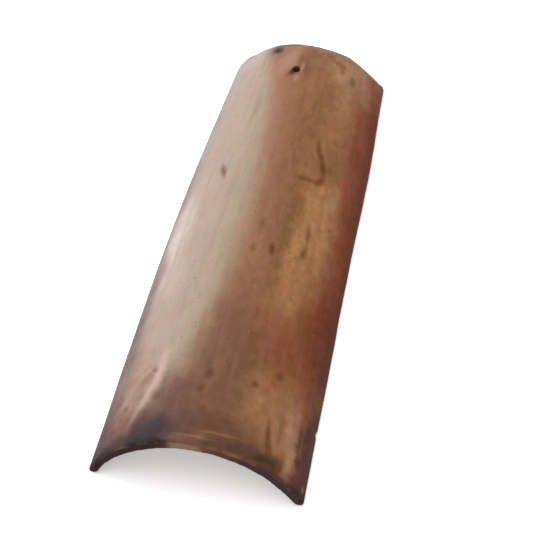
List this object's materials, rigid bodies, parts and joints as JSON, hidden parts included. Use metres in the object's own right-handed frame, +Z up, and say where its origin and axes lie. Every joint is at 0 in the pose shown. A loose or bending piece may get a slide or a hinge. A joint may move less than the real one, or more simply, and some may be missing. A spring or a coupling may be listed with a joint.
{
  "type": "clay barrel roof tile",
  "caption": "Tapered half-barrel clay roof tile with a nail hole near its narrow end, laid in overlapping courses to shed rain.",
  "frame": {"origin": "on the floor under the middle of the tile as it lies on its two long edges, at the bottom centre of its bounding box", "axes": "+Y along the tile from the wide end to the narrow end, +Z up through the ridge, +X to the right seen from the wide end"},
  "size_m": [0.1982, 0.5, 0.0699],
  "materials": {
    "fired_clay": "satin"
  },
  "bodies": {
    "root": {"barrel_tile": "fired_clay"}
  },
  "joints": []
}
